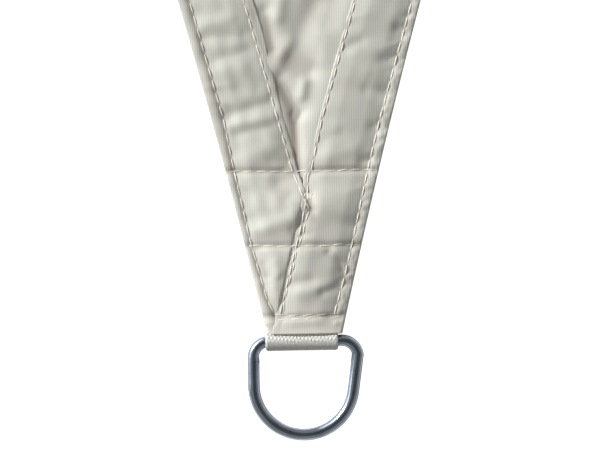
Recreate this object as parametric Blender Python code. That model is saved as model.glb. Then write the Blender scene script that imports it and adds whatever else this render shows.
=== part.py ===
"""A triangular shade sail lying flat on its plain side, with the sewn hems on top.

Three edges curve in between three narrow corners. At each corner a webbing loop, sewn between
the layers of cloth, holds a D-ring that lies on the ground. Metres, +Z up.
"""

import math

import bmesh
import bpy
from mathutils import Matrix, Vector
from mathutils.geometry import delaunay_2d_cdt

MM = 0.001
GAP = 0.3 * MM  # between pieces that touch

# Plan of the sail. A corner's own frame has its origin at the middle of the cut tip, u across
# and v along the corner's centre line, into the sail.
CORNERS = 3
TIP_RADIUS = 1110 * MM  # from the sail's middle to each tip, so the rings end 2 m apart
TIP_WIDTH = 32 * MM
TIP_HALF_ANGLE = math.radians(12.9)  # from the corner's centre line to each edge, at the tip

# Cloth
CLOTH = 1.0 * MM
HEM_WIDTH = 29 * MM
HEM_PROFILE = (  # distance from the edge, height of the top
    (0.0 * MM, 1.6 * MM),
    (1.5 * MM, 2.4 * MM),
    (HEM_WIDTH, 2.4 * MM),  # folded inner edge of the hem
    (HEM_WIDTH + 0.6 * MM, CLOTH),
)
CORNER_ROWS = (  # distance from the tip of the three seams across the corner
    6.7 * MM,
    36.5 * MM,
    67.5 * MM,
)
ROW_HALF_WIDTH = 2.5 * MM
ROW_DEPTH = 0.5 * MM

# Webbing loop and the pocket that holds its two tails
WEBBING_WIDTH = 30 * MM
WEBBING = 1.0 * MM
TAIL_END = 59 * MM  # how far the tails reach from the tip
TAIL_STEP = 4 * MM  # length of the fall of the cloth past the tails
LOWER_TAIL = CLOTH + GAP + WEBBING / 2  # height of each tail's middle
UPPER_TAIL = LOWER_TAIL + WEBBING + GAP
LOWER_BEND = -0.3 * MM  # where each tail turns towards the ring, from the tip
UPPER_BEND = 7.5 * MM
SHOULDER_SLOPE = 0.3  # fall of the cloth from the webbing's sides to the corner's edges

# D-ring
WIRE = 5.0 * MM
BAR_FROM_TIP = 3.0 * MM
BAR_HEIGHT = WEBBING + GAP + WIRE / 2
BOW_RADIUS = 20.7 * MM  # centre line of the round end
BOW_CENTRE = Vector((-0.7 * MM, 18.3 * MM))  # across, and away from the straight bar
BEND_RADIUS = 6.8 * MM
RIGHT_LEG_LEAN = math.radians(8)  # the left leg is square to the bar

# Main folds near a corner, in its own frame
FOLDS = (
    # u0, v0, u1, v1, half width, height
    (1 * MM, 55 * MM, -10 * MM, 9 * MM, 3.5 * MM, -0.6 * MM),  # lapped hems, sewn down
    (-15 * MM, 125 * MM, -3 * MM, 70 * MM, 4 * MM, -0.2 * MM),
    (12 * MM, 133 * MM, 2.5 * MM, 75 * MM, 6 * MM, 1.0 * MM),  # ridge of slack cloth
    (-8 * MM, 115 * MM, 8 * MM, 93 * MM, 5 * MM, 0.7 * MM),
    (8 * MM, 31 * MM, 18 * MM, 25 * MM, 3.5 * MM, -0.7 * MM),  # creases at the right seam
    (7 * MM, 15 * MM, 18 * MM, 21 * MM, 3.5 * MM, -0.5 * MM),
    (-20 * MM, 50 * MM, -7 * MM, 45 * MM, 4 * MM, 0.5 * MM),
    (5 * MM, 55 * MM, 22 * MM, 52 * MM, 4 * MM, 0.5 * MM),
    (-28 * MM, 87 * MM, -12 * MM, 82 * MM, 5 * MM, 0.5 * MM),
    (17 * MM, 98 * MM, 33 * MM, 92 * MM, 5 * MM, 0.5 * MM),
)

# Slack of the laid-out sail: long low waves that lift the whole cloth, in the sail's frame
WAVES = (
    # x0, y0, x1, y1, half width, height
    (-60 * MM, -640 * MM, 40 * MM, -180 * MM, 62 * MM, 9 * MM),
    (110 * MM, -520 * MM, 330 * MM, -60 * MM, 58 * MM, 7 * MM),
    (-330 * MM, -160 * MM, -120 * MM, 60 * MM, 66 * MM, 10 * MM),
    (-560 * MM, 300 * MM, -180 * MM, 200 * MM, 60 * MM, 9 * MM),
    (-250 * MM, 420 * MM, 140 * MM, 330 * MM, 64 * MM, 8 * MM),
    (90 * MM, 120 * MM, 520 * MM, 250 * MM, 68 * MM, 11 * MM),
    (330 * MM, 430 * MM, 620 * MM, 390 * MM, 52 * MM, 6 * MM),
    (-30 * MM, -20 * MM, -10 * MM, 230 * MM, 56 * MM, 6 * MM),
)
WAVE_REACH = 2.2  # a wave has died out at this many half widths

# Spacing of the cloth's points
CORNER_REACH = 150 * MM
CORNER_STEP = 7.5 * MM
EDGE_STEP = 45 * MM
INSIDE_STEP = 42 * MM

MATERIALS = {  # base colour, roughness, metallic
    "cloth": ((0.66, 0.65, 0.60), 0.62, 0.0),
    "webbing": ((0.62, 0.61, 0.56), 0.75, 0.0),
    "steel": ((0.50, 0.53, 0.57), 0.22, 1.0),
}


def clear_scene():
    for obj in list(bpy.data.objects):
        bpy.data.objects.remove(obj, do_unlink=True)


def material(name):
    colour, roughness, metallic = MATERIALS[name]
    made = bpy.data.materials.new(name)
    made.use_nodes = True
    shader = made.node_tree.nodes["Principled BSDF"]
    shader.inputs["Base Color"].default_value = (*colour, 1.0)
    shader.inputs["Roughness"].default_value = roughness
    shader.inputs["Metallic"].default_value = metallic
    return made


def corner_matrix(corner):
    """From a corner's own frame to the sail's."""
    turn = Matrix.Rotation(2 * math.pi / CORNERS * corner, 4, "Z")
    return turn @ Matrix.Translation((0, -TIP_RADIUS, 0))


def turned(point, angle):
    return Matrix.Rotation(angle, 2) @ point


def edge_circle():
    """Centre and radius of the circle that edge 0 follows, from corner 0 to corner 1.

    The circle's centre is on the line through the sail's middle that halves the edge, and the
    edge leaves the tip at TIP_HALF_ANGLE.
    """
    start = Vector((TIP_WIDTH / 2, -TIP_RADIUS))
    along = Vector((math.sin(TIP_HALF_ANGLE), math.cos(TIP_HALF_ANGLE)))
    outward = Vector((math.cos(math.radians(30)), -math.sin(math.radians(30))))
    centre = outward * (start.dot(along) / outward.dot(along))
    return centre, (start - centre).length


EDGE_CENTRE, EDGE_RADIUS = edge_circle()


def edge_distance(point, edge):
    """How far a point of the plan is inside that edge of the sail."""
    centre = turned(EDGE_CENTRE, 2 * math.pi / CORNERS * edge)
    return (point - centre).length - EDGE_RADIUS


def edge_half_angle():
    start = Vector((TIP_WIDTH / 2, -TIP_RADIUS)) - EDGE_CENTRE
    return abs(start.angle(-EDGE_CENTRE))


def edge_point(edge, along, inside):
    """The point that is so far along an edge from its middle, and so far inside it."""
    reach = turned(-EDGE_CENTRE.normalized() * (EDGE_RADIUS + inside), -along / EDGE_RADIUS)
    return turned(EDGE_CENTRE + reach, 2 * math.pi / CORNERS * edge)


def in_corner(point):
    """(u, v) of a point in the frame of the corner that it is nearest to."""
    frames = (turned(point, -2 * math.pi / CORNERS * k) for k in range(CORNERS))
    nearest = min(frames, key=lambda p: (p - Vector((0, -TIP_RADIUS))).length)
    return nearest + Vector((0, TIP_RADIUS))


def read_table(table, at):
    """The second column of a table at a value of its first, straight between its rows."""
    if at <= table[0][0]:
        return table[0][1]
    for (low, before), (high, after) in zip(table, table[1:]):
        if at <= high:
            return before + (after - before) * (at - low) / (high - low)
    return table[-1][1]


def from_segment(point, start, end):
    run = end - start
    share = max(0.0, min(1.0, (point - start).dot(run) / run.length_squared))
    return (point - start - run * share).length


def fold_height(local):
    """The sum of the corner's folds, each a soft ridge or trough along its own line."""
    height = 0.0
    for u0, v0, u1, v1, half_width, crest in FOLDS:
        away = from_segment(local, Vector((u0, v0)), Vector((u1, v1))) / half_width
        height += crest * math.exp(-away * away)
    return height


def lift(point):
    """How far the waves of the slack cloth raise it off the ground."""
    height = 0.0
    for x0, y0, x1, y1, half_width, crest in WAVES:
        away = from_segment(point, Vector((x0, y0)), Vector((x1, y1))) / half_width
        if away < WAVE_REACH:
            height += crest * math.cos(away / WAVE_REACH * math.pi / 2) ** 4
    return height


def tail_top(local_v):
    """Top of the webbing's upper tail over its length in the pocket."""
    slope = upper_run_slope()
    return UPPER_TAIL + WEBBING / 2 + max(0.0, UPPER_BEND - local_v) * slope


def cloth_height(point):
    """How far the cloth's top is above its underside at a point of the plan."""
    inside = min(edge_distance(point, k) for k in range(CORNERS))
    hem = read_table(HEM_PROFILE, inside)
    local = in_corner(point)
    if local.y > CORNER_REACH:
        return hem
    over_webbing = tail_top(local.y) + GAP + CLOTH
    over_webbing -= max(0.0, abs(local.x) - WEBBING_WIDTH / 2) * SHOULDER_SLOPE
    past_tails = max(0.0, local.y - TAIL_END - 2 * GAP) / TAIL_STEP
    height = max(hem, over_webbing * max(0.0, 1 - past_tails))
    height += max(fold_height(local), -0.3 * (height - CLOTH))
    for row in CORNER_ROWS:
        height -= ROW_DEPTH * max(0.0, 1 - abs(local.y - row) / ROW_HALF_WIDTH)
    return height


def edge_stations():
    """Distances along an edge from its middle: close together near the tips."""
    half = EDGE_RADIUS * edge_half_angle()
    fine = math.ceil(CORNER_REACH / CORNER_STEP)
    coarse = math.ceil((half - CORNER_REACH) / EDGE_STEP)
    near_tip = [half - CORNER_REACH + CORNER_REACH * i / fine for i in range(1, fine + 1)]
    middle = [(half - CORNER_REACH) * i / coarse for i in range(coarse + 1)]
    rising = middle + near_tip
    return [-s for s in reversed(rising[1:])] + rising


def sail_outline():
    """The plan's outline, counter-clockwise, each tip cut square."""
    return [edge_point(edge, s, 0) for edge in range(CORNERS) for s in edge_stations()]


def hem_lines():
    """Lines along the hem's profile, each kept where its own edge is the nearest one."""
    lines = []
    for edge in range(CORNERS):
        for inside, _ in HEM_PROFILE[1:]:
            points = [edge_point(edge, s, inside) for s in edge_stations()]
            lines.append([p for p in points if on_own_side(p, inside)])
    return lines


def on_own_side(point, inside):
    others = sorted(edge_distance(point, k) for k in range(CORNERS))
    return others[1] > inside + 0.5 * MM and in_corner(point).y > 1 * MM


def corner_points():
    """Points over a corner, with a row on each cross seam and on each side of it."""
    rows = [r + side for r in CORNER_ROWS for side in (-ROW_HALF_WIDTH, 0, ROW_HALF_WIDTH)]
    steps = math.ceil(CORNER_REACH / CORNER_STEP)
    plain = [CORNER_REACH * i / steps for i in range(1, steps + 1)]
    rows += [v for v in plain if min(abs(v - r) for r in rows) > CORNER_STEP / 2]
    across = math.ceil(TIP_WIDTH * 2 / CORNER_STEP)
    return [Vector((i * CORNER_STEP, v)) for v in rows for i in range(-across, across + 1)]


def inside_points():
    """Every free point of the plan: close together in the corners, far apart elsewhere."""
    lines = [0.0] + [inside for inside, _ in HEM_PROFILE]
    points = []
    for corner in range(CORNERS):
        frame = corner_matrix(corner)
        points += [(frame @ p.to_3d()).to_2d() for p in corner_points()]
    kept = []
    for p in points:
        depths = sorted(edge_distance(p, k) for k in range(CORNERS))[:2]
        clear = min(abs(depth - line) for depth in depths[:1] for line in lines)
        if depths[0] > 0 and clear > 1.5 * MM:
            kept.append(p)
    count = math.ceil(TIP_RADIUS / INSIDE_STEP)
    for row in range(-count, count + 1):
        for column in range(-count, count + 1):
            p = Vector((column + 0.5 * (row % 2), row * math.sqrt(0.75))) * INSIDE_STEP
            depth = min(edge_distance(p, k) for k in range(CORNERS))
            if depth > HEM_WIDTH + 20 * MM and in_corner(p).y > CORNER_REACH:
                kept.append(p)
    return kept


def triangulated(outline, lines, points):
    """Triangles that fill the outline and keep to the given lines and points."""
    flat = list(outline)
    ties = []
    for line in lines:
        first = len(flat)
        flat += line
        ties += [(first + i, first + i + 1) for i in range(len(line) - 1)]
    flat += points
    ring = list(range(len(outline)))
    found = delaunay_2d_cdt(flat, ties, [ring], 1, 1e-7)
    return found[0], found[2]


def mesh_object(name, bm, finish):
    mesh = bpy.data.meshes.new(name)
    bm.to_mesh(mesh)
    bm.free()
    mesh.materials.append(finish)
    obj = bpy.data.objects.new(name, mesh)
    bpy.context.scene.collection.objects.link(obj)
    return obj


def sail_cloth(finish):
    """The sail with its hems: a sheet lifted by its waves, its top raised by the layers."""
    outline = sail_outline()
    plan, faces = triangulated(outline, hem_lines(), inside_points())
    bm = bmesh.new()
    under = [bm.verts.new((p.x, p.y, lift(p))) for p in plan]
    top = [bm.verts.new((p.x, p.y, lift(p) + cloth_height(p))) for p in plan]
    for face in faces:
        bm.faces.new([top[i] for i in face])
        bm.faces.new([under[i] for i in reversed(face)])
    sides = {(i, j) for face in faces for i, j in zip(face, face[1:] + face[:1])}
    for i, j in sorted(sides):
        if (j, i) not in sides:
            bm.faces.new([top[j], top[i], under[i], under[j]])
    return mesh_object("sail_cloth", bm, finish)


def extruded_across(name, outline, half_width, finish):
    """A solid of that outline in (v, z), the same all across its width."""
    bm = bmesh.new()
    side = bm.faces.new([bm.verts.new((-half_width, v, z)) for v, z in outline])
    grown = bmesh.ops.extrude_face_region(bm, geom=[side])
    moved = [v for v in grown["geom"] if isinstance(v, bmesh.types.BMVert)]
    bmesh.ops.translate(bm, verts=moved, vec=(2 * half_width, 0, 0))
    bmesh.ops.recalc_face_normals(bm, faces=bm.faces)
    return mesh_object(name, bm, finish)


def tangent_point(start, centre, radius, side):
    """Where a straight run from start meets the circle, above it for side 1, below for -1."""
    to_centre = centre - start
    angle = math.asin(radius / to_centre.length)
    along = math.sqrt(to_centre.length_squared - radius * radius)
    direction = turned(to_centre.normalized(), -side * angle)
    return start + direction * along


BAR = Vector((-BAR_FROM_TIP, BAR_HEIGHT))  # the ring's straight bar, in (v, z)
WRAP_RADIUS = WIRE / 2 + GAP + WEBBING / 2


def upper_run_slope():
    """How fast the webbing's upper run rises from its bend towards the bar."""
    bend = Vector((UPPER_BEND, UPPER_TAIL))
    touch = tangent_point(bend, BAR, WRAP_RADIUS, 1)
    return (touch.y - bend.y) / (bend.x - touch.x)


def webbing_path():
    """The webbing's middle line: in along the lower tail, round the bar, out along the upper."""
    low = Vector((LOWER_BEND, LOWER_TAIL))
    high = Vector((UPPER_BEND, UPPER_TAIL))
    first = tangent_point(low, BAR, WRAP_RADIUS, -1) - BAR
    last = tangent_point(high, BAR, WRAP_RADIUS, 1) - BAR
    start = math.atan2(first.y, first.x)
    turn = (math.atan2(last.y, last.x) - start) % (2 * math.pi) - 2 * math.pi
    steps = 16
    wrap = [
        BAR + turned(Vector((WRAP_RADIUS, 0)), start + turn * i / steps)
        for i in range(steps + 1)
    ]
    tails = [Vector((TAIL_END, LOWER_TAIL)), Vector((TAIL_END, UPPER_TAIL))]
    return [tails[0], low, *wrap, high, tails[1]]


def offset_path(path, distance):
    """The path moved sideways, with its corners kept sharp."""
    moved = []
    for i, point in enumerate(path):
        before = (point - path[max(i - 1, 0)]).normalized()
        after = (path[min(i + 1, len(path) - 1)] - point).normalized()
        along = (before + after).normalized()
        across = Vector((-along.y, along.x))
        stretch = 1 / max(along.dot(after or before), along.dot(before or after))
        moved.append(point + across * distance * stretch)
    return moved


def webbing_outline():
    path = webbing_path()
    return offset_path(path, WEBBING / 2) + offset_path(path, -WEBBING / 2)[::-1]


def webbing_loop(corner, finish):
    made = extruded_across(
        f"webbing_loop_{corner + 1}", webbing_outline(), WEBBING_WIDTH / 2, finish
    )
    made.matrix_world = corner_matrix(corner)
    return made


def pocket_cutter(corner, finish):
    """The space for both tails between the layers, open at the tip."""
    ceiling = UPPER_TAIL + WEBBING / 2 + GAP
    outside = -12 * MM
    outline = [
        Vector((outside, CLOTH)),
        Vector((TAIL_END + GAP, CLOTH)),
        Vector((TAIL_END + GAP, ceiling)),
        Vector((UPPER_BEND, ceiling)),
        Vector((outside, tail_top(outside) + GAP)),
    ]
    half_width = WEBBING_WIDTH / 2 + GAP
    made = extruded_across(f"pocket_{corner + 1}", outline, half_width, finish)
    made.matrix_world = corner_matrix(corner)
    made.hide_render = True
    made.display_type = "WIRE"
    return made


def cut(obj, cutter):
    modifier = obj.modifiers.new(cutter.name, "BOOLEAN")
    modifier.operation = "DIFFERENCE"
    modifier.object = cutter


def arc(centre, radius, start, end, steps):
    return [
        centre + radius * Vector((math.cos(a), math.sin(a)))
        for a in (start + (end - start) * i / steps for i in range(steps + 1))
    ]


def ring_line():
    """Centre line of the D, its bar along y = 0 and its bow towards +y, counter-clockwise."""
    lean = RIGHT_LEG_LEAN
    foot = BOW_CENTRE + BOW_RADIUS * Vector((math.cos(lean), math.sin(lean)))
    rise = (foot.y - BEND_RADIUS * (1 - math.sin(lean))) / math.cos(lean)
    leg_top = foot + rise * Vector((math.sin(lean), -math.cos(lean)))
    right = leg_top - BEND_RADIUS * Vector((math.cos(lean), math.sin(lean)))
    left = Vector((BOW_CENTRE.x - BOW_RADIUS + BEND_RADIUS, BEND_RADIUS))
    return (
        arc(left, BEND_RADIUS, math.pi, 1.5 * math.pi, 7)
        + arc(Vector((right.x, BEND_RADIUS)), BEND_RADIUS, -math.pi / 2, lean, 7)
        + arc(BOW_CENTRE, BOW_RADIUS, lean, math.pi, 26)
    )


def d_ring(corner, finish):
    """A ring of round wire. Its bow lies on the ground and its bar is held up in the webbing."""
    curve = bpy.data.curves.new(f"d_ring_{corner + 1}", "CURVE")
    curve.dimensions = "3D"
    curve.bevel_depth = WIRE / 2
    curve.bevel_resolution = 4
    line = ring_line()
    spline = curve.splines.new("POLY")
    spline.points.add(len(line) - 1)
    for point, place in zip(spline.points, line):
        point.co = (place.x, -place.y, 0, 1)
    spline.use_cyclic_u = True
    spline.use_smooth = True
    curve.materials.append(finish)
    made = bpy.data.objects.new(curve.name, curve)
    bpy.context.scene.collection.objects.link(made)
    droop = math.asin((BAR_HEIGHT - WIRE / 2) / (BOW_CENTRE.y + BOW_RADIUS))
    place = Matrix.Translation((0, -BAR_FROM_TIP, BAR_HEIGHT))
    made.matrix_world = corner_matrix(corner) @ place @ Matrix.Rotation(droop, 4, "X")
    return made


def centre_on_origin(pieces):
    """Parents the pieces to an empty, moved so that the sail's box stands on the origin."""
    bpy.context.view_layer.update()
    graph = bpy.context.evaluated_depsgraph_get()
    corners = [
        p.matrix_world @ Vector(c) for p in pieces for c in mesh_points(p.evaluated_get(graph))
    ]
    low = [min(c[axis] for c in corners) for axis in range(3)]
    high = [max(c[axis] for c in corners) for axis in range(3)]
    frame = bpy.data.objects.new("sail_frame", None)
    bpy.context.scene.collection.objects.link(frame)
    frame.location = (-(low[0] + high[0]) / 2, -(low[1] + high[1]) / 2, -low[2])
    return frame


def mesh_points(evaluated):
    mesh = evaluated.to_mesh()
    points = [v.co.copy() for v in mesh.vertices]
    evaluated.to_mesh_clear()
    return points


def build():
    clear_scene()
    finishes = {name: material(name) for name in MATERIALS}
    sail = sail_cloth(finishes["cloth"])
    pieces = [sail]
    cutters = []
    for corner in range(CORNERS):
        cutters.append(pocket_cutter(corner, finishes["cloth"]))
        cut(sail, cutters[-1])
        pieces.append(webbing_loop(corner, finishes["webbing"]))
        pieces.append(d_ring(corner, finishes["steel"]))
    frame = centre_on_origin(pieces)
    for obj in pieces + cutters:
        obj.parent = frame


build()
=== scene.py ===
import math

import bmesh
import bpy
import numpy as np
from mathutils import Matrix, Vector
from mathutils.bvhtree import BVHTree
from mathutils.geometry import delaunay_2d_cdt


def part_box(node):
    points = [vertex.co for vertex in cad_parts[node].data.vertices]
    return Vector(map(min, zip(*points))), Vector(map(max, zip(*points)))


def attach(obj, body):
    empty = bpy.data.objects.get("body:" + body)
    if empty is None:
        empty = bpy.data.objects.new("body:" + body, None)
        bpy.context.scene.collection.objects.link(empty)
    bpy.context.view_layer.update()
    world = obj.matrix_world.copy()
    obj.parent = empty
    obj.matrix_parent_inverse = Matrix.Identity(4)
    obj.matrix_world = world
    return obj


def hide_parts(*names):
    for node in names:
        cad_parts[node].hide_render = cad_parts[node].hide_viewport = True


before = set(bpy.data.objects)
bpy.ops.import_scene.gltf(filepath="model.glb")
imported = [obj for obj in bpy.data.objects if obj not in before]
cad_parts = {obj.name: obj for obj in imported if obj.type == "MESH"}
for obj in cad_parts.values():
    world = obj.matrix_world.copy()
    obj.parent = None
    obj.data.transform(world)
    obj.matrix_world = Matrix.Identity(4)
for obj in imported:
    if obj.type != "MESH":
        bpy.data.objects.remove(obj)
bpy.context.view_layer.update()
bpy.ops.object.select_all(action="DESELECT")
mm = 0.001
cornerCount = 3
print("frame loaded:", ", ".join(sorted(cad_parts)))


# plan of the sail; a corner has its own frame, u across and v up from the cut tip, in metres
plan = {
    "tipRadius": 1110 * mm,  # from the sail's middle to each cut tip
    "tipWidth": 31.6 * mm,
    "tipHalfAngle": math.radians(12.9),
    "cornerReach": 150 * mm,  # the finely made stretch of each corner
    "outerSeam": 4.0 * mm,  # from the edge, away from the corners
    "innerSeam": 26.3 * mm,
    "hemWidth": 29.0 * mm,
    "crossSeams": (36.5 * mm, 67.5 * mm),  # from the tip
    "tipSeam": 6.9 * mm,
    "settleOver": 40 * mm,  # beyond its table a row runs on to its usual distance from the edge
    "hiddenEnd": (30 * mm, 22 * mm),  # the lower hem's inner row goes on under the upper hem
}
seamRows = {  # the rows of stitches near a corner, (u, v) in millimetres, running down to the tip
    "outerRight": (
        (47.2, 138.8), (32.8, 88.8), (27.4, 67.9), (20.4, 37.1), (16.9, 22.9), (12.2, 7.1),
    ),
    "innerRight": (
        (23.5, 138.8), (8.6, 88.8), (3.9, 67.9), (2.4, 65.4), (2.2, 58.8), (1.5, 55.4),
        (0.3, 49.2), (-0.8, 43.8), (-2.6, 37.5), (-3.5, 34.2), (-5.2, 27), (-7.9, 17),
        (-10.2, 7.5),
    ),
    "outerLeft": (
        (-45.7, 138.8), (-32.2, 88.8), (-28.4, 68.8), (-21.4, 36.7), (-15.4, 15), (-12.5, 8.6),
    ),
    "innerLeft": ((-23.2, 138.8), (-9.7, 88.8), (-4.2, 68.3), (1, 54.8), (3, 51.2)),
    "besideInner": (
        (3, 51.2), (1, 46.3), (-0, 40.8), (-1.4, 37.5), (-2.6, 35.4), (-3.9, 28.3),
        (-5.2, 24.2), (-7, 17.9), (-8.3, 12.9), (-8.3, 8.8),
    ),
}
sailLow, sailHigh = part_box("sail_cloth")
middle = np.array(((sailLow.x + sailHigh.x) / 2, sailLow.y + plan["tipRadius"]))


def turned(x, y, angle):
    return x * math.cos(angle) - y * math.sin(angle), x * math.sin(angle) + y * math.cos(angle)


def toSail(u, v, corner):
    # from a corner's frame to the sail's
    x, y = turned(u, v - plan["tipRadius"], 2 * math.pi / cornerCount * corner)
    return x + middle[0], y + middle[1]


def toCorner(x, y, corner):
    u, v = turned(x - middle[0], y - middle[1], -2 * math.pi / cornerCount * corner)
    return u, v + plan["tipRadius"]


def nearestCorner(x, y):
    # (u, v) in the frame of whichever corner is nearest, point by point
    frames = [toCorner(x, y, corner) for corner in range(cornerCount)]
    far = np.array([np.hypot(u, v) for u, v in frames])
    choice = far.argmin(axis=0)
    u = np.choose(choice, [f[0] for f in frames])
    v = np.choose(choice, [f[1] for f in frames])
    return u, v


def edgeCircle():
    # the right edge of a corner is an arc about this centre, in the corner's frame
    lean, bisector = plan["tipHalfAngle"], math.radians(30)
    startX, startY = plan["tipWidth"] / 2, -plan["tipRadius"]
    ahead = startX * math.sin(lean) + startY * math.cos(lean)
    reach = ahead / (math.cos(bisector) * math.sin(lean) - math.sin(bisector) * math.cos(lean))
    x, y = math.cos(bisector) * reach, -math.sin(bisector) * reach
    return x, y + plan["tipRadius"], math.hypot(startX - x, startY - y)


edgeU, edgeV, edgeRadius = edgeCircle()


def fromEdge(u, v, side):
    # distance inside the right edge, for side 1, or the left one, for side -1
    return np.hypot(side * u - edgeU, v - edgeV) - edgeRadius


def onEdge(v, inside, side):
    # u of the point that is at height v and so far inside that edge
    return side * (edgeU - np.sqrt((edgeRadius + inside) ** 2 - (v - edgeV) ** 2))


def rowInside(name, side, v, far):
    # how far inside the edge that row of stitches runs at v; away from the corner it settles at far
    rows = np.array(seamRows[name][::-1]) * mm
    insides = fromEdge(rows[:, 0], rows[:, 1], side)
    rowsV = np.append(rows[:, 1], rows[-1, 1] + plan["settleOver"])
    insides = np.append(insides, far)
    if name == "innerLeft":
        endV, endInside = plan["hiddenEnd"]
        rowsV, insides = np.insert(rowsV, 0, endV), np.insert(insides, 0, endInside)
    return np.interp(v, rowsV, insides)


# heights of the layers
def smooth(x):
    x = np.clip(x, 0, 1)
    return x * x * (3 - 2 * x)


def bell(x):
    return np.exp(-(x**2))


def readTable(table, at):
    # the second column at a value of the first, eased between its rows
    places = np.array([row[0] for row in table]) * mm
    values = np.array([row[1] for row in table]) * mm
    index = np.clip(np.searchsorted(places, at) - 1, 0, len(places) - 2)
    share = smooth((at - places[index]) / (places[index + 1] - places[index]))
    return values[index] + (values[index + 1] - values[index]) * share


def fromLine(x, y, x0, y0, x1, y1):
    # distance from a stretch of line whose ends are in millimetres
    runX, runY = (x1 - x0) * mm, (y1 - y0) * mm
    length = runX * runX + runY * runY
    share = np.clip(((x - x0 * mm) * runX + (y - y0 * mm) * runY) / length, 0, 1)
    return np.hypot(x - x0 * mm - runX * share, y - y0 * mm - runY * share)


def foldSum(x, y, folds):
    # soft ridges and troughs, each along its own line; the table is in millimetres
    height = np.zeros_like(x)
    for *line, halfWidth, crest in folds:
        height += crest * mm * bell(fromLine(x, y, *line) / (halfWidth * mm))
    return height


waves = {  # slack of the laid-out sail, from the sail's middle
    "reach": 2.2,  # half widths out to where a wave ends
    "table": (
        # x0, y0, x1, y1, half width, height
        (-60, -640, 40, -180, 62, 9), (110, -520, 330, -60, 58, 7),
        (-330, -160, -120, 60, 66, 10), (-560, 300, -180, 200, 60, 9),
        (-250, 420, 140, 330, 64, 8), (90, 120, 520, 250, 68, 11), (330, 430, 620, 390, 52, 6),
        (-30, -20, -10, 230, 56, 6),
    ),
}


def lift(x, y):
    # how far the waves raise the whole cloth off the ground
    height = np.zeros_like(x)
    x, y = x - middle[0], y - middle[1]
    for *line, halfWidth, crest in waves["table"]:
        away = fromLine(x, y, *line) / (halfWidth * mm)
        height += crest * mm * np.cos(np.clip(away / waves["reach"], 0, 1) * math.pi / 2) ** 4
    return height


def unevenness(x, y, size, seed):
    # a soft random field about 1 high, with features about this size
    random = np.random.default_rng(seed)
    field = np.zeros_like(x)
    waveCount = 14
    for wave in range(waveCount):
        angle, phase = random.uniform(0, math.pi), random.uniform(0, 2 * math.pi)
        pitch = size * random.uniform(0.7, 1.6)
        field += np.sin((x * math.cos(angle) + y * math.sin(angle)) * 2 * math.pi / pitch + phase)
    return field / math.sqrt(waveCount)


cornerLayers = {
    "panelTop": 0.6 * mm,
    "overWebbing": 3.75 * mm,  # underside of the hems where they lie over the webbing's tails
    "liftFrom": 7.5 * mm,  # the upper tail rises from here to the ring
    "liftSlope": 0.40,
    "shoulderSlope": 0.19,
    "shoulderFrom": 10 * mm,
    "shoulderRound": 4 * mm,
    "tailEnd": 52 * mm,
    "tailStep": 16 * mm,
    "leftHemRise": 0.75 * mm,  # how far the lower hem raises the upper one
    "seamDip": 0.75 * mm,
    "seamDipWidth": 1.5 * mm,
    "fadeFrom": 190 * mm,  # a corner's own relief has died out at this height
    "fadeOver": 60 * mm,
    "sewnTip": 60 * mm,  # below this the layers are sewn together
}


def hemFloor(u, v):
    # height of what the hems lie on
    c = cornerLayers
    over = c["overWebbing"] + np.maximum(0, c["liftFrom"] - v) * c["liftSlope"]
    aside = np.maximum(0, np.abs(u) - c["shoulderFrom"])
    shoulder = np.hypot(aside, c["shoulderRound"]) - c["shoulderRound"]
    over = over - c["shoulderSlope"] * shoulder
    over = c["panelTop"] + (over - c["panelTop"]) * (1 - smooth((v - c["tailEnd"]) / c["tailStep"]))
    return np.maximum(over, c["panelTop"])


def crossSeamDip(v):
    # how deep the rows across the corner pull the cloth down
    c = cornerLayers
    dip = np.zeros_like(v)
    for seam in (*plan["crossSeams"], plan["tipSeam"]):
        dip += bell((v - seam) / c["seamDipWidth"])
    return dip * c["seamDip"]


def openShare(v, over):
    # 1 where the hems of a corner part over the panel, easing to 0 at the sewn tip and far up
    c = cornerLayers
    return smooth((c["fadeFrom"] - v) / c["fadeOver"]) * smooth((v - c["sewnTip"]) / over)


# materials
def newGroup(name, inputs, outputs):
    group = bpy.data.node_groups.new(name, "ShaderNodeTree")
    for label, kind, value in inputs:
        socket = group.interface.new_socket(label, in_out="INPUT", socket_type=kind)
        if value is not None:
            socket.default_value = value
    for label, kind in outputs:
        group.interface.new_socket(label, in_out="OUTPUT", socket_type=kind)
    return group, group.nodes.new("NodeGroupInput"), group.nodes.new("NodeGroupOutput")


def mathNode(tree, operation, *values):
    node = tree.nodes.new("ShaderNodeMath")
    node.operation = operation
    for socket, value in zip(node.inputs, values):
        if isinstance(value, bpy.types.NodeSocket):
            tree.links.new(value, socket)
        else:
            socket.default_value = value
    return node.outputs[0]


def setInputs(node, **values):
    for label, value in values.items():
        node.inputs[label].default_value = value


def noiseNode(tree, vector, scale, detail=3.0, roughness=0.5):
    node = tree.nodes.new("ShaderNodeTexNoise")
    setInputs(node, Scale=scale, Detail=detail, Roughness=roughness)
    tree.links.new(vector, node.inputs["Vector"])
    return node.outputs["Fac"]


def mixColour(tree, mask, first, second):
    node = tree.nodes.new("ShaderNodeMix")
    node.data_type = "RGBA"
    sockets = [s for s in node.inputs if s.type == "RGBA"]
    factor = node.inputs[0]
    for socket, value in ((factor, mask), (sockets[0], first), (sockets[1], second)):
        if isinstance(value, bpy.types.NodeSocket):
            tree.links.new(value, socket)
        else:
            socket.default_value = value if socket is factor else (*value, 1.0)
    return [s for s in node.outputs if s.type == "RGBA"][0]


def rampNode(tree, value, low, high):
    # 0 below low and 1 above high
    node = tree.nodes.new("ShaderNodeMapRange")
    node.interpolation_type = "SMOOTHSTEP"
    tree.links.new(value, node.inputs["Value"])
    setInputs(node, **{"From Min": low, "From Max": high})
    return node.outputs["Result"]


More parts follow.
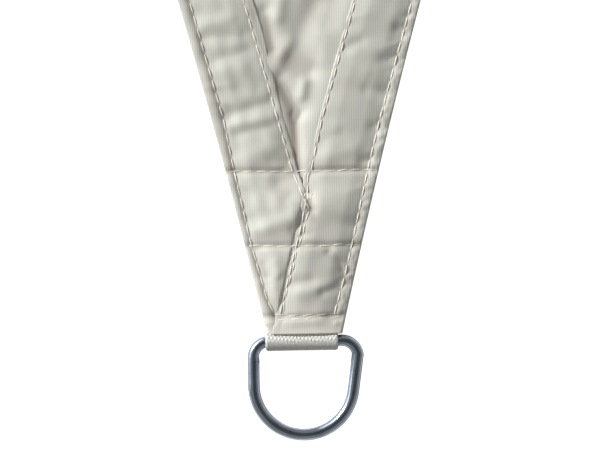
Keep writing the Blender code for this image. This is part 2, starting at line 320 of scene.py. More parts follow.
def makeWeaveGroup():
    # a plain weave whose ribs run along y: a height from 0 to 1, and a mask of the yarn tops
    group, given, result = newGroup(
        "plainWeave",
        (
            ("Vector", "NodeSocketVector", None),
            ("Rib Pitch", "NodeSocketFloat", 0.0009),
            ("Pick Pitch", "NodeSocketFloat", 0.0009),
            ("Wander", "NodeSocketFloat", 0.0001),
        ),
        (("Height", "NodeSocketFloat"), ("Tops", "NodeSocketFloat")),
    )
    split = group.nodes.new("ShaderNodeSeparateXYZ")
    group.links.new(given.outputs["Vector"], split.inputs[0])
    drift = mathNode(group, "SUBTRACT", noiseNode(group, given.outputs["Vector"], 160, 2.0), 0.5)
    drift = mathNode(group, "MULTIPLY", drift, given.outputs["Wander"])
    across = mathNode(group, "ADD", split.outputs[0], drift)
    ribs = mathNode(group, "DIVIDE", across, given.outputs["Rib Pitch"])
    ribs = mathNode(group, "SINE", mathNode(group, "MULTIPLY", ribs, 2 * math.pi))
    picks = mathNode(group, "DIVIDE", split.outputs[1], given.outputs["Pick Pitch"])
    picks = mathNode(group, "SINE", mathNode(group, "MULTIPLY", picks, 2 * math.pi))
    crossed = mathNode(group, "MULTIPLY", ribs, picks)
    ribs = mathNode(group, "MULTIPLY", ribs, 0.5)
    both = mathNode(group, "MULTIPLY_ADD", crossed, 0.5, ribs)
    height = mathNode(group, "MULTIPLY_ADD", both, 0.5, 0.5)
    group.links.new(height, result.inputs["Height"])
    group.links.new(rampNode(group, height, 0.35, 0.9), result.inputs["Tops"])
    return group


def makeWearGroup():
    # slow drifts of shade and a faint soiling
    group, given, result = newGroup(
        "clothWear",
        (("Vector", "NodeSocketVector", None), ("Scale", "NodeSocketFloat", 30.0)),
        (("Drift", "NodeSocketFloat"), ("Soil", "NodeSocketFloat")),
    )
    scaled = group.nodes.new("ShaderNodeVectorMath")
    scaled.operation = "SCALE"
    group.links.new(given.outputs["Vector"], scaled.inputs[0])
    group.links.new(given.outputs["Scale"], scaled.inputs["Scale"])
    drift = noiseNode(group, scaled.outputs[0], 1.0, 4.0, 0.55)
    soilAndShade = noiseNode(group, scaled.outputs[0], 3.7, 5.0, 0.6)
    group.links.new(rampNode(group, drift, 0.3, 0.7), result.inputs["Drift"])
    group.links.new(rampNode(group, soilAndShade, 0.52, 0.75), result.inputs["Soil"])
    return group


weaveGroup = makeWeaveGroup()
wearGroup = makeWearGroup()


def newMaterial(name):
    made = bpy.data.materials.new(name)
    made.use_nodes = True
    tree = made.node_tree
    place = tree.nodes.new("ShaderNodeTexCoord").outputs["Object"]
    return made, tree, tree.nodes["Principled BSDF"], place


def groupNode(tree, group, place, **values):
    node = tree.nodes.new("ShaderNodeGroup")
    node.node_tree = group
    tree.links.new(place, node.inputs["Vector"])
    setInputs(node, **values)
    return node


def addBump(tree, shader, height, distance, strength):
    bump = tree.nodes.new("ShaderNodeBump")
    setInputs(bump, Distance=distance, Strength=strength)
    tree.links.new(height, bump.inputs["Height"])
    tree.links.new(bump.outputs["Normal"], shader.inputs["Normal"])


clothLook = {
    # light and dark: yarn tops and hollows of the weave, painted light and shade
    "light": (0.755, 0.75, 0.69),
    "dark": (0.61, 0.603, 0.548),
    "soiled": (0.60, 0.56, 0.50),
    # painted shade colour, for folds, seams and recesses that lie in shade
    "paintedShade": (0.40, 0.35, 0.30),
    "ribPitch": 0.95 * mm,
    "pickPitch": 0.92 * mm,
    "roughness": 0.56,
    "sheen": 0.12,
    "bump": 0.12 * mm,
    "soiling": 0.10,
    # how strongly the painted shade mask darkens the cloth
    "shadeShare": 0.55,
    "drift": 0.05,
}


def makeClothMaterial():
    look = clothLook
    made, tree, shader, place = newMaterial("sailCloth")
    pitches = {"Rib Pitch": look["ribPitch"], "Pick Pitch": look["pickPitch"]}
    weave = groupNode(tree, weaveGroup, place, **pitches)
    wear = groupNode(tree, wearGroup, place, Scale=26.0)
    # yarn tops lighter than the hollows: painted light and shade of the weave
    colour = mixColour(tree, weave.outputs["Tops"], look["dark"], look["light"])
    soilAndShade = mathNode(tree, "MULTIPLY", wear.outputs["Soil"], look["soiling"])
    colour = mixColour(tree, soilAndShade, colour, look["soiled"])
    # painted shade: the cloth is darkened by the mask made with each piece
    paintedShade = tree.nodes.new("ShaderNodeAttribute")
    paintedShade.attribute_name = "paintedShade"
    depth = mathNode(tree, "MULTIPLY", paintedShade.outputs["Fac"], look["shadeShare"])
    colour = mixColour(tree, depth, colour, look["paintedShade"])
    shade = mathNode(tree, "MULTIPLY_ADD", wear.outputs["Drift"], look["drift"], 0.95)
    brighter = tree.nodes.new("ShaderNodeVectorMath")
    brighter.operation = "SCALE"
    tree.links.new(colour, brighter.inputs[0])
    tree.links.new(shade, brighter.inputs["Scale"])
    tree.links.new(brighter.outputs[0], shader.inputs["Base Color"])
    rough = mathNode(tree, "MULTIPLY_ADD", weave.outputs["Tops"], -0.1, look["roughness"] + 0.05)
    tree.links.new(rough, shader.inputs["Roughness"])
    setInputs(shader, **{"Sheen Weight": look["sheen"], "Specular IOR Level": 0.4})
    addBump(tree, shader, weave.outputs["Height"], look["bump"], 0.5)
    return made


threadLook = {
    "dark": (0.76, 0.73, 0.655),
    "light": (0.9, 0.88, 0.81),
    "grain": 2600,
    "roughness": 0.45,
    "bump": 0.05 * mm,
}


def makeThreadMaterial():
    made, tree, shader, place = newMaterial("sewingThread")
    look = threadLook
    grain = noiseNode(tree, place, look["grain"], 2.0)
    colour = mixColour(tree, rampNode(tree, grain, 0.35, 0.65), look["dark"], look["light"])
    tree.links.new(colour, shader.inputs["Base Color"])
    setInputs(shader, Roughness=look["roughness"])
    addBump(tree, shader, grain, look["bump"], 0.4)
    return made


webbingLook = {
    "dark": (0.62, 0.62, 0.58),
    "light": (0.78, 0.78, 0.74),
    "soiled": (0.5, 0.48, 0.43),
    # raised: painted highlight on the crowns of the bumps and ribs
    "raised": (0.96, 0.95, 0.91),
    "fibres": 1800,
    "soiling": 0.15,
    "roughness": 0.6,
    "sheen": 0.25,
    "bump": 0.08 * mm,
}


def makeWebbingMaterial():
    made, tree, shader, place = newMaterial("webbingBand")
    look = webbingLook
    wear = groupNode(tree, wearGroup, place, Scale=60.0)
    fibres = noiseNode(tree, place, look["fibres"], 3.0)
    colour = mixColour(tree, rampNode(tree, fibres, 0.3, 0.7), look["dark"], look["light"])
    soilAndShade = mathNode(tree, "MULTIPLY", wear.outputs["Soil"], look["soiling"])
    colour = mixColour(tree, soilAndShade, colour, look["soiled"])
    # painted highlight on the yarn crowns, from the mask made with the band
    raised = tree.nodes.new("ShaderNodeAttribute")
    raised.attribute_name = "raised"
    colour = mixColour(tree, raised.outputs["Fac"], colour, look["raised"])
    tree.links.new(colour, shader.inputs["Base Color"])
    setInputs(shader, **{"Roughness": look["roughness"], "Sheen Weight": look["sheen"]})
    addBump(tree, shader, fibres, look["bump"], 0.4)
    return made


ringLook = {
    "bright": (0.56, 0.63, 0.72),
    "dull": (0.42, 0.48, 0.57),
    "roughness": 0.16,
    "cloud": 130,
    "grain": 900,
    "bump": 0.03 * mm,
}


def makeRingMaterial():
    made, tree, shader, place = newMaterial("zincSteel")
    look = ringLook
    cloud = noiseNode(tree, place, look["cloud"], 4.0, 0.6)
    fine = noiseNode(tree, place, look["grain"], 3.0, 0.6)
    colour = mixColour(tree, rampNode(tree, cloud, 0.3, 0.7), look["dull"], look["bright"])
    tree.links.new(colour, shader.inputs["Base Color"])
    setInputs(shader, Metallic=1.0)
    rough = mathNode(tree, "MULTIPLY_ADD", fine, 0.14, look["roughness"] - 0.05)
    tree.links.new(rough, shader.inputs["Roughness"])
    addBump(tree, shader, fine, look["bump"], 0.25)
    return made


clothMaterial = makeClothMaterial()
threadMaterial = makeThreadMaterial()
webbingMaterial = makeWebbingMaterial()
ringMaterial = makeRingMaterial()
print("materials made")


# meshes from arrays
def newPiece(name, points, faces, material):
    mesh = bpy.data.meshes.new(name)
    mesh.from_pydata(points.tolist(), [], faces)
    mesh.polygons.foreach_set("use_smooth", [True] * len(mesh.polygons))
    mesh.materials.append(material)
    mesh.update()
    piece = bpy.data.objects.new(name, mesh)
    bpy.context.scene.collection.objects.link(piece)
    return piece


def addMask(piece, name, values):
    attribute = piece.data.attributes.new(name, "FLOAT", "POINT")
    attribute.data.foreach_set("value", np.asarray(values, dtype=np.float32).ravel())


def tubeFaces(rows, columns):
    # quads round a stack of closed rings, and a cap at each end
    grid = np.arange(rows * columns).reshape(rows, columns)
    here, along = grid[:-1], grid[1:]
    quads = np.stack([here, np.roll(here, -1, 1), np.roll(along, -1, 1), along], axis=-1)
    caps = [grid[0, ::-1].tolist(), grid[-1].tolist()]
    return quads.reshape(-1, 4).tolist() + caps


def distances(places):
    # how far along a line of points each of them is
    return np.concatenate([[0], np.cumsum(np.hypot(*np.diff(places, axis=0).T))])


def growingSteps(length, first, most, growth):
    # distances from 0 to length whose steps are short at both ends and long in the middle
    half, at, step = [], 0.0, first
    while at + step < length / 2:
        at += step
        half.append(at)
        step = min(most, step * growth)
    half = np.array(half) * (length / 2) / (half[-1] + step / 2)
    return np.concatenate([half, length - half[::-1]])


# the panel: the body of the sail, one thin cloth under the hems
panel = {
    "inset": 2.4 * mm,  # its edge is inside the hem's outer fold
    "thickness": 0.55 * mm,
    "vStep": 0.6 * mm,
    "wedgeStart": 58 * mm,
    "coarseStep": 13 * mm,
    "fineTo": 620 * mm,  # each corner's rows end here and the even grid takes over
    "coarseFrom": 626 * mm,
    "rise": 0.9 * mm,  # how far the cloth stands up between the hems of a corner
    "bank": 1.3 * mm,  # and how much further it climbs to the right hem
    "bankWidth": 9 * mm,
    "unevenness": 0.10 * mm,
    "slack": 0.9 * mm,
    # painted shade: dark patches in the panel's colour where its folds lie in shade
    "paintedShades": (
        # u0, v0, u1, v1, half width, share
        (-13.9, 131, -12.5, 119, 2.0, 1.0), (-10.5, 116, 2.0, 112.5, 4.0, 0.6),
        (-8.8, 102, -3.4, 90, 2.8, 1.15), (-3.1, 87, -1.5, 66, 1.8, 1.2),
        (5.5, 135, 2.0, 146, 5.0, 0.4),
    ),
    "folds": (
        # u0, v0, u1, v1, half width, height
        (-14.5, 134, -11.5, 118, 2.8, -0.9), (-8.5, 106, -1.0, 92, 3.2, -1.2),
        (-2.8, 90, -1.0, 68, 2.4, -1.0), (-4.5, 114, 3.0, 109, 4.0, -1.2),
        (0.0, 124, 6.0, 136, 4.5, -1.0), (10.0, 123, 9.0, 114, 4.2, 0.9),
        (1.5, 104, 0.5, 99, 2.6, 1.0), (-8.0, 138, -9.0, 132, 3.2, 0.9),
        (-4.5, 121, -8.5, 113, 3.2, 0.9),
    ),
}


def panelHeight(x, y):
    # top of the panel
    u, v = nearestCorner(x, y)
    inside = np.minimum(fromEdge(u, v, 1), fromEdge(u, v, -1))
    free = smooth((inside - plan["innerSeam"]) / (3 * mm))
    fromLeft = fromEdge(u, v, -1) - rowInside("innerLeft", -1, v, plan["innerSeam"])
    fromRight = fromEdge(u, v, 1) - rowInside("innerRight", 1, v, plan["innerSeam"])
    stand = panel["rise"] * (0.9 + 0.1 * smooth((fromLeft - 4 * mm) / (8 * mm)))
    bank = panel["bank"] * smooth(1 - (fromRight - 1 * mm) / panel["bankWidth"])
    up = smooth((fromRight + 3 * mm) / (2.6 * mm)) * smooth((fromLeft + 2.5 * mm) / (2.5 * mm))
    height = stand + bank * smooth(fromLeft / (6 * mm))
    height = cornerLayers["panelTop"] + height * up * openShare(v, 14 * mm)
    height += foldSum(u, v, panel["folds"]) * free
    height += panel["unevenness"] * unevenness(x, y, 16 * mm, 3) * free
    slack = panel["slack"] * unevenness(x, y, 170 * mm, 5) ** 2
    height += slack * smooth((inside - 60 * mm) / (120 * mm)) * 0.5
    return np.maximum(height, 0.3 * mm) + lift(x, y)


def panelOutline():
    # up both edges of each corner to the middle of its sides, in order round the sail's middle
    points = []
    steps = growingSteps(2 * 950 * mm, 2 * mm, panel["coarseStep"], 1.05)
    heights = steps[: len(steps) // 2]
    heights = heights[heights < 905 * mm]
    for corner in range(cornerCount):
        right = [(onEdge(v, panel["inset"], 1), v) for v in (0.6 * mm, *heights)]
        left = [(-u, v) for u, v in reversed(right)]
        for u, v in (*left, *right):
            points.append(toSail(u, v, corner))
    return sorted(points, key=lambda p: math.atan2(p[1] - middle[1], p[0] - middle[0]))


def panelPoints():
    # close together in each corner's visible wedge, then wider and wider apart
    points = []
    for corner in range(cornerCount):
        v, step = panel["wedgeStart"], panel["vStep"]
        while v < panel["fineTo"]:
            half = max(onEdge(v, plan["innerSeam"] - 3 * mm, 1), 3 * mm)
            count = max(2, int(2 * half / step))
            shift = 0.25 * step * (1 if int(v / step) % 2 else -1)
            for i in range(count + 1):
                points.append(toSail(-half + 2 * half * i / count + shift, v, corner))
            if v > 142 * mm:
                step = min(panel["coarseStep"], step * 1.035)
            v += step * 0.87
    return points


def evenGrid():
    # rows of points half a step out of line with each other, over the whole sail
    step = panel["coarseStep"]
    points = []
    for row in range(-70, 71):
        for column in range(-80, 81):
            x = (column + 0.5 * (row % 2)) * step + middle[0]
            y = row * step * math.sqrt(0.75) + middle[1]
            points.append((x, y))
    return points


def keptPoints(points, fromV, toV, farInside):
    # those between two heights of their nearest corner and far enough inside both its edges
    points = np.array(points)
    u, v = nearestCorner(points[:, 0], points[:, 1])
    inside = np.minimum(fromEdge(u, v, 1), fromEdge(u, v, -1))
    return points[(inside > farInside) & (v > fromV) & (v < toV)].tolist()


def makePanel():
    outline = panelOutline()
    fine = keptPoints(panelPoints(), 0, 640 * mm, panel["inset"] + 2 * mm)
    grid = keptPoints(evenGrid(), panel["coarseFrom"], math.inf, 12 * mm)
    flat = [Vector(p) for p in (*outline, *fine, *grid)]
    found = delaunay_2d_cdt(flat, [], [list(range(len(outline)))], 1, 1e-6)
    spots = np.array([tuple(p) for p in found[0]])
    faces = np.array(found[2])
    top = panelHeight(spots[:, 0], spots[:, 1])
    count = len(spots)
    upper = np.column_stack([spots, top])
    lower = np.column_stack([spots, np.maximum(top - panel["thickness"], 0.03 * mm)])
    directed = {(i, j) for face in faces.tolist() for i, j in zip(face, face[1:] + face[:1])}
    sides = [[j, i, i + count, j + count] for i, j in sorted(directed) if (j, i) not in directed]
    allFaces = faces.tolist() + (faces[:, ::-1] + count).tolist() + sides
    piece = newPiece("sailPanel", np.vstack([upper, lower]), allFaces, clothMaterial)
    u, v = nearestCorner(spots[:, 0], spots[:, 1])
    # painted shade in the panel's folds, as a mask
    dark = foldSum(u, v, panel["paintedShades"]) / mm
    addMask(piece, "paintedShade", np.clip(np.concatenate([dark, dark]), 0, 1.6))
    return piece


sailPanel = makePanel()
print("panel made:", len(sailPanel.data.polygons), "faces")


# the hems: a strip along each edge, over its neighbour at one end and under it at the other
hem = {
    "columnStep": 0.62 * mm,
    "rowStep": 0.55 * mm,
    "rowMost": 5 * mm,
    "rowGrowth": 1.02,
    "thickness": 1.05 * mm,
    "puff": 0.75 * mm,
    "lipRise": 0.2 * mm,
    "roll": 0.65 * mm,
    "groove": 0.22 * mm,
    "grooveWidth": 0.85 * mm,
    "foldRadius": 1.0 * mm,
    "underside": 0.04 * mm,  # clear of what lies below
    "foldGain": 1.3,
    "leftTilt": 0.3 * mm,  # rise of each hem towards its inner row, above the webbing
    "rightTilt": 1.5 * mm,
    "rightRoll": 0.3 * mm,
    "grain": 0.09 * mm,
    "crumple": 0.14 * mm,
    "broad": 0.22 * mm,
    "lowest": 0.35 * mm,
    "pressed": 0.3 * mm,
    "leftLip": (  # v, and how far the hem goes on past its inner row
        *((0, 2.2), (55, 1.5), (66, 1.6), (76, 2.0)),
        *((95, 2.2), (114, 2.9), (127, 3.6), (165, 2.7)),
    ),
    "rightLip": (
        *((0, 1.2), (40, 1.2), (56, 1.7), (68, 1.3)),
        *((80, 0.9), (112, 0.9), (139, 0.9), (165, 2.7)),
    ),
    # painted shade: dark patches in the hems' colour where the cloth lies in shade
    "paintedShades": (
        # u0, v0, u1, v1, half width, share
        (10.5, 34.3, 17.3, 27.8, 1.7, 0.45), (-16, 38.5, -4, 42.8, 2.2, 0.25),
        (-16.2, 28, -14.8, 24.5, 1.5, 0.2), (-15.5, 14, -14, 9, 1.8, 0.25),
        (-4, 42.5, -1.5, 48, 2.2, 0.3), (-9.5, 59, -4.5, 62.5, 2.6, 0.3),
        (3.0, 56.5, 4.2, 47, 2.0, 0.45), (4.5, 49, 8.5, 44, 2.0, 0.25),
        (-1.5, 21.5, 5.0, 24, 2.0, 0.25), (22.5, 22.2, 12, 19, 1.0, 0.3),
        (20.5, 26.3, 24, 25.5, 0.8, 0.4), (2.5, 11, 18, 12, 2.6, 0.25),
        (23, 60, 30, 62, 2.5, 0.25), (-3.5, 74, -6.5, 69, 2.6, 0.3),
    ),
    "leftFolds": (
        # u0, v0, u1, v1, half width, height
        (-30.4, 91, -13.4, 96, 3, -0.6), (-29.4, 86.5, -12.4, 90, 2.4, 0.35),
        (-26.5, 83, -12.4, 86, 2.2, -0.25), (-21.5, 74, -10.5, 79, 4, 0.45),
        (-11.5, 71.5, -6.5, 70.5, 3, -0.35), (-37.3, 108, -25.3, 110, 3.5, 0.4),
        (-35.2, 114, -21.2, 118, 2.8, -0.4), (-41.2, 128, -29.1, 131, 3, 0.35),
        (-39.2, 123, -24.2, 124, 2.6, -0.35), (-26.3, 102, -19.3, 101, 3, -0.3),
        (-9.6, 65, -5.6, 58, 3, -0.5), (-19.5, 42.5, -4.5, 48, 3.2, 0.75),
        (-16.5, 28.5, -15, 24, 1.9, -0.45), (-11.5, 29.5, -10.5, 25.5, 2.3, 0.4),
        (-12.5, 19, -11.5, 16, 2, 0.35), (-9, 22.5, -5.5, 26.5, 2, -0.3),
        (-10.5, 61, -5.5, 65, 3.0, -0.5), (-3.7, 43, -1.7, 39, 2, -0.4),
    ),
    "rightFolds": (
        (40.8, 126, 46.8, 124, 2.6, -0.5), (34.7, 113, 43.7, 112, 3, -0.5),
        (38.7, 99, 27.7, 101, 2.8, -0.5), (30.6, 85, 37.6, 87, 2.8, -0.45),
        (25.5, 70.5, 31.5, 73, 2.6, -0.4), (18.8, 118, 24.8, 121, 2.6, -0.45),
        (15.7, 112, 26.7, 108, 3, 0.35), (8.5, 80, 16.5, 83, 2.8, -0.35),
        (10.5, 73, 20.5, 76, 3.2, 0.35), (10.8, 33.5, 17.3, 27.6, 2.0, -0.6),
        (13.2, 33, 20.2, 31, 2.2, 0.4), (22.1, 22.5, 8.1, 17, 2.2, -0.6),
        (17.2, 26, 23.2, 25, 1.4, -0.5), (-3.9, 21, 3.1, 22, 2.6, -0.45),
        (4.1, 13, 17.1, 13, 3.6, -0.35), (-2.9, 17, 12.1, 20, 2.6, 0.3),
        (12.3, 46, 21.3, 45, 3.5, -0.35), (9.3, 52, 20.3, 49, 3.5, 0.4),
        (2.9, 57, 3.8, 51, 1.8, -0.7),
    ),
}


def hemProfile(inside, v, isRight, outerSeam, innerSeam):
    # height of the hem over what it lies on
    fromOuter = np.abs(inside - outerSeam)
    fromInner = np.abs(inside - innerSeam)
    between = (inside > outerSeam) & (inside < innerSeam)
    height = between * hem["puff"] * smooth(fromOuter / (7 * mm)) * smooth(fromInner / (7 * mm))
    height += hem["thickness"]
    rollShare = np.clip(inside / outerSeam, 0, 1)
    roll = np.where(isRight, hem["rightRoll"], hem["roll"])
    height += roll * np.sin(math.pi * rollShare) ** 0.8 * (inside < outerSeam)
    lipShare = np.clip((inside - innerSeam) / (3 * mm), 0, 1)
    height += hem["lipRise"] * np.sin(math.pi * lipShare * 0.7) * (inside > innerSeam)
    height *= 1 - 0.5 * smooth(lipShare)
    sewn = smooth((v - 4.5 * mm) / (2.5 * mm))
    for away in (fromOuter, fromInner):
        height -= hem["groove"] * sewn * bell(away / hem["grooveWidth"])
    beside = np.abs(inside - rowInside("besideInner", 1, v, plan["innerSeam"]))
    doubled = isRight & (v < 51 * mm)
    height -= doubled * hem["groove"] * bell(beside / hem["grooveWidth"])
    return height


pucker = {  # ranges in millimetres
    "spacing": 9 * mm,
    "uneven": (0.55, 1.5),
    "width": (1.4, 2.6),
    "reach": (2.5, 7.0),
    "crest": (-0.32, 0.32),
    "slant": (-0.35, 0.35),
}


def puckers(along, inside, seam, seed, length):
    # short ridges square to a seam, unevenly spaced, dying out away from it
    random = np.random.default_rng(seed)
    height = np.zeros_like(along)
    away = np.abs(inside - seam)
    at = 0.0
    while at < length:
        at += pucker["spacing"] * random.uniform(*pucker["uneven"])
        width = random.uniform(*pucker["width"]) * mm
        reach = random.uniform(*pucker["reach"]) * mm
        crest = random.uniform(*pucker["crest"]) * mm
        slant = random.uniform(*pucker["slant"])
        near = np.abs(along - at) < 4 * width + 6 * mm
        shifted = along[near] - at - slant * (inside[near] - seam[near])
        height[near] += crest * bell(shifted / width) * bell(away[near] / reach)
    return height


def seamInsides(v, isRight):
    # how far inside the edge a hem's outer and inner rows run
    found = []
    for row in ("outer", "inner"):
        far = plan[f"{row}Seam"]
        right = rowInside(f"{row}Right", 1, v, far)
        found.append(np.where(isRight, right, rowInside(f"{row}Left", -1, v, far)))
    return found


def hemRows():
    # heights of a hem's rows within a corner
    return np.arange(0, plan["cornerReach"] + hem["rowStep"] / 2, hem["rowStep"])


def hemGrid(corner, insides):
    # plan places of a hem's rows and columns, from its own corner to the next one
    rows = hemRows()
    v, inside = np.meshgrid(rows, insides, indexing="ij")
    x0, y0 = toSail(onEdge(v, inside, 1), v, corner)
    x1, y1 = toSail(onEdge(v, inside, -1), v, corner + 1)
    centreX, centreY = toSail(edgeU, edgeV, corner)
    fromAngle = np.arctan2(y0[-1] - centreY, x0[-1] - centreX)
    toAngle = np.arctan2(y1[-1] - centreY, x1[-1] - centreX)
    sweep = (toAngle - fromAngle + math.pi) % (2 * math.pi) - math.pi
    length = abs(sweep[0]) * edgeRadius
    shares = growingSteps(length, hem["rowStep"], hem["rowMost"], hem["rowGrowth"]) / length
    angle = fromAngle[None] + sweep[None] * shares[:, None]
    radius = edgeRadius + insides[None]
    xm, ym = centreX + np.cos(angle) * radius, centreY + np.sin(angle) * radius
    x = np.vstack([x0, xm, x1[::-1]])
    y = np.vstack([y0, ym, y1[::-1]])
    return x, y, distances(np.column_stack([x[:, 0], y[:, 0]]))


def hemHeight(x, y, along, inside, isRight, length, seed):
    # top of a hem, and what it lies on
    u, v = nearestCorner(x, y)
    side = np.where(isRight, 1, -1)
    floor = hemFloor(u, v)
    otherInside = fromEdge(u, v, -side)
    outerSeam, innerSeam = seamInsides(v, isRight)
    below = smooth((plan["hemWidth"] + 5 * mm - otherInside) / (14 * mm))
    floor = floor + isRight * below * cornerLayers["leftHemRise"]
    settled = isRight * smooth((inside - innerSeam) / (1 * mm)) * smooth((54 * mm - v) / (6 * mm))
    covered = ~isRight * smooth((plan["hemWidth"] - 0.5 * mm - otherInside) / (1.5 * mm))
    fine = smooth((plan["cornerReach"] + 60 * mm - v) / (60 * mm))
    folds = np.where(isRight, foldSum(u, v, hem["rightFolds"]), foldSum(u, v, hem["leftFolds"]))
    folds = folds * hem["foldGain"]
    small = puckers(along, inside, outerSeam, seed, length)
    small = small + puckers(along, inside, innerSeam, seed + 50, length)
    small = small + hem["grain"] * unevenness(x, y, 9 * mm, seed + 90)
    outside = smooth((outerSeam - inside) / (1.5 * mm))
    crumple = hem["crumple"] * isRight * unevenness(x, y, 3.4 * mm, seed + 97)
    small = small + crumple * outside
    broad = hem["broad"] * unevenness(x, y, 34 * mm, seed + 95)
    height = hemProfile(inside, v, isRight, outerSeam, innerSeam) + (folds + small) * fine + broad
    height = np.maximum(height - crossSeamDip(v), hem["lowest"])
    height = height * (0.3 + 0.7 * smooth((v - 1.5 * mm) / (5 * mm)))  # pressed thin at the cut end
    height = height + (hem["pressed"] - height) * np.maximum(covered, 0.75 * settled)
    tilt = np.where(isRight, hem["rightTilt"], hem["leftTilt"]) * smooth(inside / plan["innerSeam"])
    raised = lift(x, y) + floor
    return raised + tilt * openShare(v, 16 * mm) + height, raised


def foldOver(x, y, inward, low, high, turns, reach):
    # half a round turn of the cloth, between its underside and its top
    layers = []
    for turn in turns:
        out, rise = reach * math.cos(turn), (1 + math.sin(turn)) / 2
        layers.append((x + inward[0] * out, y + inward[1] * out, low + (high - low) * rise))
    return layers


def makeHem(corner):
    columns = np.arange(hem["foldRadius"], plan["hemWidth"], hem["columnStep"])
    x, y, along = hemGrid(corner, columns)
    rows, count = x.shape
    isRight = (np.arange(rows) < rows / 2)[:, None] & np.ones((1, count), bool)
    u, v = nearestCorner(x, y)
    lip = np.where(isRight, readTable(hem["rightLip"], v), readTable(hem["leftLip"], v))
    inside = np.broadcast_to(columns[None], x.shape).copy()
    outerSeam, innerSeam = seamInsides(v, isRight)
    stretch = (innerSeam + lip - columns[0]) / (columns[-1] - columns[0])
    moved = (inside - columns[0]) * (stretch - 1)
    inX, inY = x[:, -1] - x[:, 0], y[:, -1] - y[:, 0]
    size = np.hypot(inX, inY)
    inX, inY = inX / size, inY / size
    x, y = x + inX[:, None] * moved, y + inY[:, None] * moved
    inside = inside + moved
    alongAll = np.broadcast_to(along[:, None], x.shape)
    top, floor = hemHeight(x, y, alongAll, inside, isRight, along[-1], 11 + corner)
    underside, quarter = hem["underside"], math.pi / 2
    edge = x[:, 0], y[:, 0], (inX, inY), lift(x[:, 0], y[:, 0]) + underside, top[:, 0]
    layers = foldOver(*edge, np.linspace(-quarter, quarter, 9)[:-1], -0.98 * hem["foldRadius"])
    layers += [(x[:, j], y[:, j], top[:, j]) for j in range(count)]
    edge = x[:, -1], y[:, -1], (inX, inY), floor[:, -1] + underside, top[:, -1]
    layers += foldOver(*edge, np.linspace(quarter, -quarter, 6)[1:], 0.45 * mm)
    underAt = 3
    layers.append((x[:, underAt], y[:, underAt], floor[:, underAt] + underside))
    points = np.stack([np.stack(layer, axis=-1) for layer in layers], axis=1)
    faces = tubeFaces(rows, points.shape[1])
    piece = newPiece(f"sailHem_{corner + 1}", points.reshape(-1, 3), faces, clothMaterial)
    # mask of painted shade for this hem
    addMask(piece, "paintedShade", shadeMask(points, isRight[:, 0]))
    repairNormals(piece)
    return piece


soilAndShade = {  # share of the painted shade colour, by place
    "rows": 0.3,
    "rowWidth": 0.9 * mm,
    "crossRows": 0.5,
    "crossRowWidth": 1.2 * mm,
    "cutEnd": 0.2,
    "rightStrip": 0.12,  # just outside the outer row
    "leftStrip": 0.34,
    "stripInset": 1.9 * mm,
    "stripWidth": 1.5 * mm,
    "apex": 0.55,
    "apexAt": (3 * mm, 53 * mm),
    "apexSize": (2.2 * mm, 5 * mm),
}


def shadeMask(points, rightRows):
    # painted shade: darker along the seams and cross rows, at the cut end, beside the outer rows, at
    # the apex and in the listed patches
    u, v = nearestCorner(points[..., 0], points[..., 1])
    isRight = rightRows[:, None] & np.ones(u.shape, bool)
    outerSeam, innerSeam = seamInsides(v, isRight)
    inside = fromEdge(u, v, np.where(isRight, 1, -1))
    mask = np.zeros_like(u)
    for seam in (outerSeam, innerSeam):
        mask += soilAndShade["rows"] * bell((inside - seam) / soilAndShade["rowWidth"])
    for seam in (*plan["crossSeams"], plan["tipSeam"]):
        mask += soilAndShade["crossRows"] * bell((v - seam) / soilAndShade["crossRowWidth"])
    mask = mask * smooth((v - 4.5 * mm) / (2.5 * mm))
    mask += soilAndShade["cutEnd"] * smooth((8 * mm - v) / (4 * mm))
    strip = np.where(isRight, soilAndShade["rightStrip"], soilAndShade["leftStrip"])
    mask += strip * bell((inside - outerSeam + soilAndShade["stripInset"]) / soilAndShade["stripWidth"])
    mask += foldSum(u, v, hem["paintedShades"]) / mm
    (apexU, apexV), (sizeU, sizeV) = soilAndShade["apexAt"], soilAndShade["apexSize"]
    mask += soilAndShade["apex"] * np.exp(-(((u - apexU) / sizeU) ** 2) - (((v - apexV) / sizeV) ** 2))
    return np.clip(mask, 0, 1)


def repairNormals(piece):
    shape = bmesh.new()
    shape.from_mesh(piece.data)
    bmesh.ops.recalc_face_normals(shape, faces=shape.faces)
    shape.to_mesh(piece.data)
    shape.free()


hems = [makeHem(corner) for corner in range(cornerCount)]
print("hems made:", sum(len(h.data.polygons) for h in hems), "faces")


# webbing: one band round each ring's bar, its tails between the layers of cloth
webbing = {
    "halfWidth": 15 * mm,
    "shift": -1.2 * mm,
    "halfThickness": 0.5 * mm,
    "lowerTail": 1.8 * mm,  # heights of the tails' middles
    "upperTail": 3.1 * mm,
    "lowerBend": -0.3 * mm,
    "upperBend": 7.5 * mm,
    "tailEnd": 58 * mm,
    "ribPitch": 1.15 * mm,
    "ribHeight": 0.26 * mm,
    "bumpPitch": 1.5 * mm,
    "bumpRowPitch": 1.35 * mm,
    "bumpHeight": 0.36 * mm,
    "columnStep": 0.2 * mm,
    "edgeShare": 0.35,  # of the thickness that is left at the edges
}
ring = {
    "wire": 2.5 * mm,  # radius
    "barFromTip": 3.0 * mm,
    "barHeight": 3.8 * mm,
    "bowRadius": 20.7 * mm,
    "bowCentre": (-0.7 * mm, 18.3 * mm),  # across, and away from the bar
    "bendRadius": 6.8 * mm,
    "lean": math.radians(8),
    "sides": 24,
}


def touchPoint(start, centre, radius, side):
    # where a straight run from start meets a circle
    away = centre - start
    along = math.sqrt(away.length_squared - radius * radius)
    turn = -side * math.asin(radius / away.length)
    return start + Matrix.Rotation(turn, 2) @ away.normalized() * along


